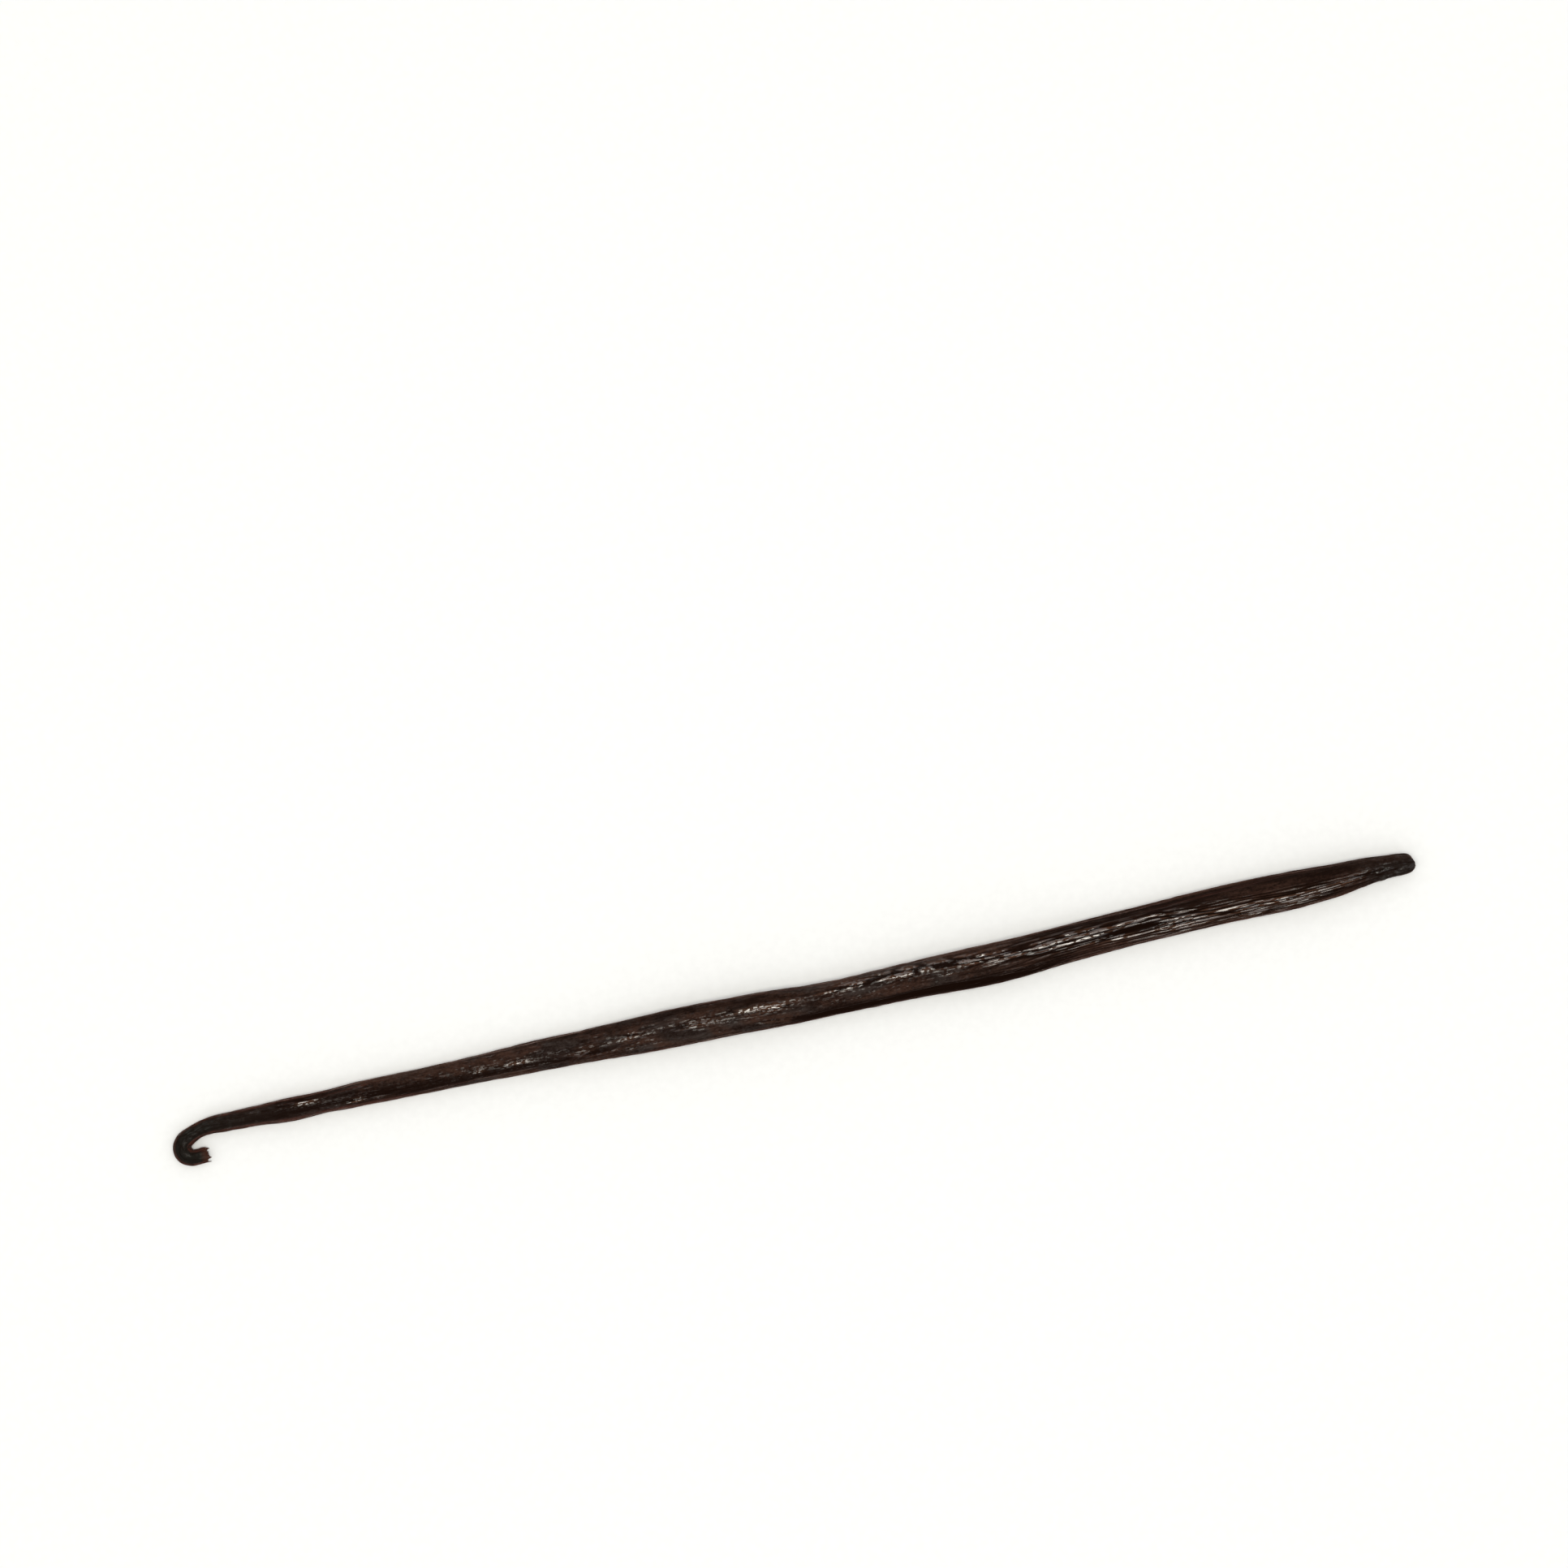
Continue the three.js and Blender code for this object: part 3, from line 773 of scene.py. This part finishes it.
class Nodes:
    """Short calls for building a material's node tree."""

    def __init__(self, material):
        material.use_nodes = True
        self.tree = material.node_tree
        self.tree.nodes.clear()

    def add(self, kind, settings=(), **inputs):
        """A node of that kind. An input is a value, or another node's output, and is named
        i and its number, or by its name with _ for each space."""
        node = self.tree.nodes.new(kind)
        for key, value in dict(settings).items():
            setattr(node, key, value)
        for key, value in inputs.items():
            number = key[1:]
            socket = node.inputs[int(number) if number.isdigit() else key.replace("_", " ")]
            if isinstance(value, bpy.types.NodeSocket):
                self.tree.links.new(value, socket)
            else:
                socket.default_value = value
        return node

    def attribute(self, name):
        return self.add("ShaderNodeAttribute", {"attribute_name": name})

    def maths(self, operation, a, b, clamp=False):
        settings = {"operation": operation, "use_clamp": clamp}
        return self.add("ShaderNodeMath", settings, i0=a, i1=b).outputs[0]

    def times(self, a, b):
        return self.maths("MULTIPLY", a, b)

    def spread(self, value, low, high, to_low=0.0, to_high=1.0):
        """The value's range from low to high, eased on to another range."""
        node = self.add("ShaderNodeMapRange", {"interpolation_type": "SMOOTHSTEP"}, i0=value, i1=low,
                        i2=high, i3=to_low, i4=to_high)
        return node.outputs[0]

    def noise(self, vector, scale, stretch, detail, rough):
        """Noise whose grain is longer along the pod by the stretch."""
        placed = self.add("ShaderNodeMapping", {"vector_type": "POINT"}, Vector=vector,
                          Scale=(1 / stretch, 1, 1)).outputs[0]
        node = self.add("ShaderNodeTexNoise", Vector=placed, Scale=scale, Detail=detail, Roughness=rough)
        return node.outputs[0]

    def between(self, share, a, b):
        """The number that lies that share of the way from a to b."""
        return self.add("ShaderNodeMix", {"data_type": "FLOAT"}, i0=share, i2=a, i3=b).outputs[0]

    def mixed(self, share, a, b, blend="MIX"):
        """The colour that lies that share of the way from a to the blend of a and b."""
        settings = {"data_type": "RGBA", "blend_type": blend}
        return self.add("ShaderNodeMix", settings, i0=share, i6=a, i7=b).outputs[2]


def skin_colour(n, look, grain, colours):
    """The colour of the cured skin: near-black to brown by its tone and by lengthwise
    streaks and mottle, with greyer clouds where it is matt, and with a warmer brown painted
    where it gleams as a painted highlight. Over that lie the dried ends with their dust, the
    painted shade of the creases, the painted red glow of the flanks and the torn fibres."""
    mottle = grain["mottle"]
    varied = n.maths("ADD", n.spread(grain["streaks"], 0.35, 0.65, -0.08, 0.08),
                     n.spread(mottle, 0.35, 0.65, -0.26, 0.26))
    varied = n.maths("ADD", varied, n.spread(grain["tooth"], 0.3, 0.7, -0.2, 0.2))
    varied = n.times(varied, n.spread(look["tone"], 0.0, 0.5, 0.4, 1.0))
    browner = n.maths("ADD", look["tone"], varied, clamp=True)
    cloudy = n.times(n.spread(grain["clouds"], 0.4, 0.62), look["matt"])
    brown = n.mixed(cloudy, (*colours.brown, 1), (*colours.cool, 1))
    colour = n.mixed(browner, (*colours.dark, 1), brown)
    # Painted highlight: where the skin gleams its colour goes towards a lighter, warmer brown.
    colour = n.mixed(n.times(look["gloss"], 0.55), colour, (*colours.painted_gleam, 1))

    dull = n.times(look["dry"], n.spread(mottle, 0.3, 0.6, 0.5, 1.0))
    dried = n.mixed(look["stem"], (*colours.dried, 1), (*colours.stem, 1))
    colour = n.mixed(dull, colour, dried)
    dusty = n.times(look["dry"], n.spread(mottle, 0.55, 0.68, 0.0, 0.45))
    colour = n.mixed(dusty, colour, (*colours.dust, 1))

    # Painted shade in the creases, pits, folds and the gaps between crests.
    colour = n.mixed(n.times(look["crease_shade"], 0.9), colour, (*colours.crease_shade, 1))
    # Painted light: a red glow on the steep flanks, with less of it in the creases.
    redder = n.times(look["rim"], n.spread(mottle, 0.35, 0.65, 0.8, 0.35))
    redder = n.times(redder, n.spread(look["crease_shade"], 0.1, 0.5, 1.0, 0.2))
    colour = n.mixed(redder, colour, (*colours.rim, 1))
    return n.mixed(look["torn"], colour, (*colours.torn, 1))


def oily_film(n, look, grain):
    """How much of the oily film covers the skin: it follows the gloss, and is broken up by
    specks where the skin is matt, by fine streaks where it is drawn out, and by coarser
    dashes where it is wet as well. A haze of single specks lies on the browner matt skin."""
    drops = n.between(look["wet"], grain["streaks"], grain["dashes"])
    broken = n.between(look["drawn"], grain["specks"], drops)
    driest = n.spread(look["wet"], 0.5, 1.0, 0.47, 0.44)
    film = n.times(look["gloss"], n.spread(broken, driest, n.maths("ADD", driest, 0.06), 0.02, 1.0))
    haze = n.times(n.spread(grain["specks"], 0.54, 0.66, 0.0, 0.08), look["matt"])
    haze = n.times(haze, n.spread(look["tone"], 0.1, 0.45))
    return n.maths("ADD", film, haze, clamp=True)


def skin_material(colours):
    """The cured skin: a rough, nearly unreflecting brown with a fine tooth, under a thin
    film of oil that gleams, and with a soft sheen that pales its rim."""
    material = bpy.data.materials.new("cured_skin")
    n = Nodes(material)
    place = n.attribute("straight").outputs["Vector"]
    look = {key: n.attribute(key).outputs["Fac"] for key in SKIN_LOOKS}
    look["matt"] = n.maths("SUBTRACT", 1.0, look["drawn"])
    grain = {key: n.noise(place, *settings) for key, settings in SKIN_GRAINS.items()}

    roughness = n.spread(grain["mottle"], 0.3, 0.7, 0.66, 0.82)
    roughness = n.maths("SUBTRACT", roughness, n.times(look["gloss"], 0.25), clamp=True)
    tooth = n.times(grain["tooth"], n.spread(look["gloss"], 0.0, 0.5, 0.6, 0.1))
    height = n.maths("ADD", tooth, n.times(grain["streaks"], 0.8))
    bump = n.add("ShaderNodeBump", Strength=1.0, Distance=0.00005, Height=height).outputs[0]
    shader = n.add("ShaderNodeBsdfPrincipled", Base_Color=skin_colour(n, look, grain, colours),
                   Roughness=roughness, Normal=bump, Coat_Normal=bump,
                   Coat_Weight=oily_film(n, look, grain))
    shader.inputs["Specular IOR Level"].default_value = 0.02
    shader.inputs["Sheen Weight"].default_value = 0.38
    shader.inputs["Sheen Roughness"].default_value = 0.28
    shader.inputs["Sheen Tint"].default_value = (1.0, 0.74, 0.66, 1)
    shader.inputs["Coat IOR"].default_value = 2.1
    shader.inputs["Coat Roughness"].default_value = 0.15
    n.add("ShaderNodeOutputMaterial", Surface=shader.outputs[0])
    return material


def table_material(stage):
    """Matt white card, with a faint tooth."""
    material = bpy.data.materials.new("white_table")
    n = Nodes(material)
    place = n.add("ShaderNodeTexCoord").outputs["Object"]
    tooth = n.add("ShaderNodeTexNoise", Vector=place, Scale=900, Detail=2).outputs[0]
    shade = n.spread(tooth, 0.2, 0.8, 0.97, 1.0)
    colour = n.mixed(1.0, (*stage.table_colour, 1), shade, "MULTIPLY")
    shader = n.add("ShaderNodeBsdfPrincipled", Base_Color=colour, Roughness=0.9)
    shader.inputs["Specular IOR Level"].default_value = 0.2
    n.add("ShaderNodeOutputMaterial", Surface=shader.outputs[0])
    return material


# --------------------------------------------------------------- sizes and colours to set

class PodShape(bpy.types.PropertyGroup):
    wrinkle_depth: FloatProperty(
        name="Wrinkle depth", description="Depth of the lengthwise wrinkles in the skin",
        default=0.00013, min=0, max=0.0005, precision=5, unit="LENGTH")
    sides: IntProperty(
        name="Sides", description="Points round the pod", default=200, min=24, max=400)
    rows: IntProperty(
        name="Rows", description="Rows of points along the body", default=380, min=60, max=1200)
    seed: IntProperty(
        name="Seed", description="Which set of wrinkles and pits the pod has", default=11, min=0)


class PodColours(bpy.types.PropertyGroup):
    dark: FloatVectorProperty(
        name="Dark skin", description="The darkest tone of the smooth skin",
        default=(0.0080, 0.0034, 0.0022), subtype="COLOR", min=0, max=1)
    brown: FloatVectorProperty(
        name="Brown skin", description="The lightest tone of the matt skin",
        default=(0.0440, 0.0218, 0.0152), subtype="COLOR", min=0, max=1)
    cool: FloatVectorProperty(
        name="Cool skin", description="The greyer tone that clouds the matt skin",
        default=(0.0330, 0.0238, 0.0206), subtype="COLOR", min=0, max=1)
    # Painted highlight: the lighter, warmer brown painted on the oily crests.
    painted_gleam: FloatVectorProperty(
        name="Oiled skin", description="The warmer brown of the oily crests",
        default=(0.0850, 0.0370, 0.0190), subtype="COLOR", min=0, max=1)
    # Painted shade: the near-black painted into the creases, pits, folds and the gaps between crests.
    crease_shade: FloatVectorProperty(
        name="Creases", description="The oily dirt in the creases",
        default=(0.0060, 0.0018, 0.0006), subtype="COLOR", min=0, max=1)
    dried: FloatVectorProperty(
        name="Dried ends", description="The dull stem and tip",
        default=(0.0138, 0.0100, 0.0082), subtype="COLOR", min=0, max=1)
    stem: FloatVectorProperty(
        name="Stem", description="The greener black of the stem",
        default=(0.0105, 0.0098, 0.0080), subtype="COLOR", min=0, max=1)
    dust: FloatVectorProperty(
        name="Dust", description="The pale bloom on the dried ends",
        default=(0.0480, 0.0420, 0.0370), subtype="COLOR", min=0, max=1)
    # Painted light: the red glow painted on the steep skin of the flanks.
    rim: FloatVectorProperty(
        name="Flanks", description="The redder skin of the flanks",
        default=(0.0560, 0.0170, 0.0115), subtype="COLOR", min=0, max=1)
    torn: FloatVectorProperty(
        name="Torn fibres", description="The fibres inside the torn stem",
        default=(0.0650, 0.0200, 0.0110), subtype="COLOR", min=0, max=1)


class StageLook(bpy.types.PropertyGroup):
    table_colour: FloatVectorProperty(
        name="Table", description="Colour of the table", default=(0.878, 0.887, 0.892),
        subtype="COLOR", min=0, max=1)
    key_power: FloatProperty(
        name="Key lamp", description="Power of the soft lamp over the pod", default=6.0, min=0,
        unit="POWER")
    tent_light: FloatProperty(
        name="Tent light", description="Strength of the light from the white tent all round",
        default=0.78, min=0)
    tent_top: FloatProperty(
        name="Tent opening", description="Strength of the light from the tent's opening, overhead",
        default=0.04, min=0)
    look_at: FloatVectorProperty(
        name="Look at", description="The point above the table that the camera is over",
        default=(0.00475, 0.02895, 0.0016), subtype="TRANSLATION", unit="LENGTH", precision=5)
    pod_rise: FloatProperty(
        name="Pod rise", description="How steeply the pod rises to the right in the picture",
        default=math.radians(11.894), subtype="ANGLE")
    picture_width: FloatProperty(
        name="Picture width", description="Width of the table that the camera sees",
        default=0.2053, min=0.01, unit="LENGTH")
    lens: FloatProperty(
        name="Lens", description="Focal length of the camera", default=100, min=10, unit="CAMERA")


# ---------------------------------------------------------------------------- operators

class VANILLA_OT_pod(bpy.types.Operator):
    """Make the pod's skin, from the torn stem end to the scarred tip"""

    bl_idname = "vanilla.pod"
    bl_label = "Vanilla pod"

    def execute(self, context):
        shape = context.scene.vanilla_shape
        grid, straight, looks = pod_grid(shape)
        mesh = closed_mesh("pod_skin", grid, looks, {"straight": straight})
        pod = shown("pod_skin", mesh, skin_material(context.scene.vanilla_colours))
        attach(pod, "root")
        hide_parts("vanilla_pod")
        return {"FINISHED"}


def soft_lamp(place, size, power):
    """A slightly warm lamp of that length and width that faces the middle of the pod."""
    light = bpy.data.lights.new("key_lamp", "AREA")
    light.color = (1.0, 0.97, 0.88)
    light.shape = "RECTANGLE"
    light.size, light.size_y = size
    light.energy = power
    lamp = bpy.data.objects.new("key_lamp", light)
    lamp.location = place
    lamp.rotation_euler = (-Vector(place)).to_track_quat("-Z", "Y").to_euler()
    bpy.context.scene.collection.objects.link(lamp)


def white_table(stage):
    """A square table top round the origin, far wider than the picture."""
    half = 3.0
    corners = [(-half, -half, 0), (half, -half, 0), (half, half, 0), (-half, half, 0)]
    mesh = bpy.data.meshes.new("table")
    mesh.from_pydata(corners, [], [(0, 1, 2, 3)])
    shown("table", mesh, table_material(stage))


def white_tent(scene, stage):
    """An evenly lit white tent, with a dark opening for the camera at its top. The opening
    starts where the upward part of a direction is 0.86, and is fully dark at 0.95."""
    world = bpy.data.worlds.new("tent")
    scene.world = world
    n = Nodes(world)
    direction = n.add("ShaderNodeTexCoord").outputs["Generated"]
    up = n.add("ShaderNodeSeparateXYZ", Vector=direction).outputs[2]
    bright = n.spread(up, 0.86, 0.95, stage.tent_light, stage.tent_top)
    background = n.add("ShaderNodeBackground", Color=(1, 1, 1, 1), Strength=bright)
    n.add("ShaderNodeOutputWorld", Surface=background.outputs[0])


def camera_above(scene, stage):
    """A camera straight above a point of the table, turned so that the pod rises to the
    right, and as high as the picture's width asks."""
    data = bpy.data.cameras.new("camera")
    data.lens = stage.lens
    data.sensor_width = 36
    height = stage.picture_width * data.lens / data.sensor_width
    data.clip_start, data.clip_end = 0.01, 20
    camera = bpy.data.objects.new("camera", data)
    camera.matrix_world = (Matrix.Translation(Vector(stage.look_at) + Vector((0, 0, height)))
                           @ Matrix.Rotation(-stage.pod_rise, 4, "Z"))
    scene.collection.objects.link(camera)
    scene.camera = camera


class VANILLA_OT_stage(bpy.types.Operator):
    """Set the white table, the soft lamp, the tent and the camera"""

    bl_idname = "vanilla.stage"
    bl_label = "Table, lamp and camera"

    def execute(self, context):
        scene = context.scene
        stage = scene.vanilla_stage
        white_table(stage)
        soft_lamp(place=(0.0, 0.0, 1.0), size=(0.7, 0.4), power=stage.key_power)
        white_tent(scene, stage)
        camera_above(scene, stage)
        scene.view_settings.view_transform = "Standard"
        return {"FINISHED"}


class VANILLA_PT_panel(bpy.types.Panel):
    """Lists the pieces and the sizes and colours that can be set"""

    bl_label = "Vanilla Pod"
    bl_idname = "VANILLA_PT_panel"
    bl_space_type = "VIEW_3D"
    bl_region_type = "UI"
    bl_category = "Vanilla Pod"

    def draw(self, context):
        scene = context.scene
        for label, group, operator in (
            ("Shape", scene.vanilla_shape, VANILLA_OT_pod),
            ("Colours", scene.vanilla_colours, None),
            ("Stage", scene.vanilla_stage, VANILLA_OT_stage),
        ):
            box = self.layout.box()
            box.label(text=label)
            for key in group.__annotations__:
                box.prop(group, key)
            if operator:
                box.operator(operator.bl_idname)


CLASSES = (PodShape, PodColours, StageLook, VANILLA_OT_pod, VANILLA_OT_stage, VANILLA_PT_panel)


def register():
    for cls in CLASSES:
        bpy.utils.register_class(cls)
    bpy.types.Scene.vanilla_shape = PointerProperty(type=PodShape)
    bpy.types.Scene.vanilla_colours = PointerProperty(type=PodColours)
    bpy.types.Scene.vanilla_stage = PointerProperty(type=StageLook)


def unregister():
    del bpy.types.Scene.vanilla_stage
    del bpy.types.Scene.vanilla_colours
    del bpy.types.Scene.vanilla_shape
    for cls in reversed(CLASSES):
        bpy.utils.unregister_class(cls)


def main():
    register()
    bpy.ops.vanilla.stage()
    bpy.ops.vanilla.pod()


if __name__ == "__main__":
    main()
